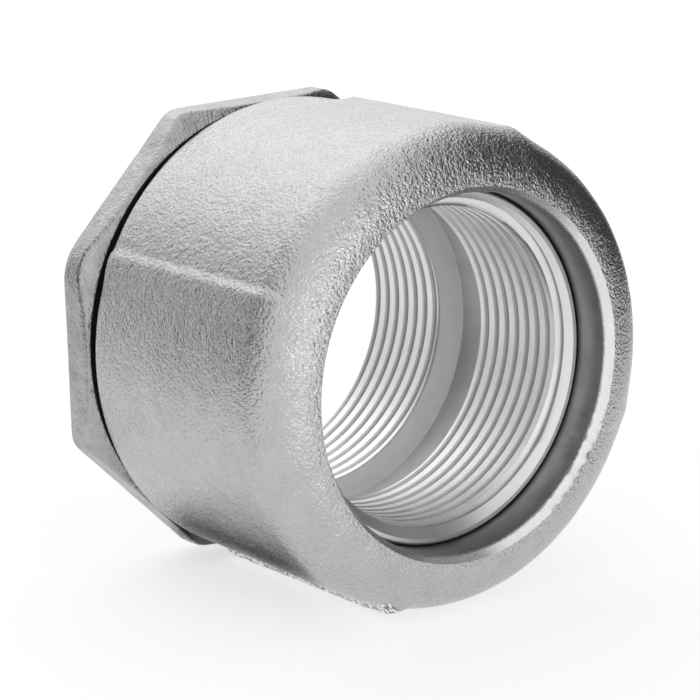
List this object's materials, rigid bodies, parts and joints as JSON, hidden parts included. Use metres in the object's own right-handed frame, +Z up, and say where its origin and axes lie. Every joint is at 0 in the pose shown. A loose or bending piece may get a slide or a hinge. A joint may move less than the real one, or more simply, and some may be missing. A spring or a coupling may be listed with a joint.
{
  "type": "conduit coupling",
  "caption": "Conduit coupling union: a flanged hub, a threaded inner sleeve and a round ribbed nut that screws on the hub and pulls the sleeve against it.",
  "frame": {"origin": "on the bore axis, halfway along the coupling", "axes": "+X along the bore axis towards the nut's mouth, +Z up, with a flat of the hub's flange facing down"},
  "size_m": [0.0512, 0.0682, 0.0682],
  "materials": {
    "hub_casting": "zinc plated, as cast",
    "turned_sleeve": "zinc plated, turned",
    "nut_casting": "zinc plated, as cast"
  },
  "bodies": {
    "hub": {"hub": "hub_casting"},
    "sleeve": {"sleeve": "turned_sleeve"},
    "nut": {"coupling_nut": "nut_casting"}
  },
  "joints": [
    {"name": "sleeve_slide", "type": "slide", "parent": "hub", "child": "sleeve", "axis": [1, 0, 0], "range_m": [0, 0.01546]},
    {"name": "nut_turn", "type": "hinge", "parent": "sleeve", "child": "nut", "pos_m": [0, 0, 0], "axis": [1, 0, 0], "range_deg": [0, 2520]}
  ],
  "couplings": [
    {"joint": "nut_turn", "follows": "sleeve_slide", "rad_per_m": 2844.7}
  ]
}
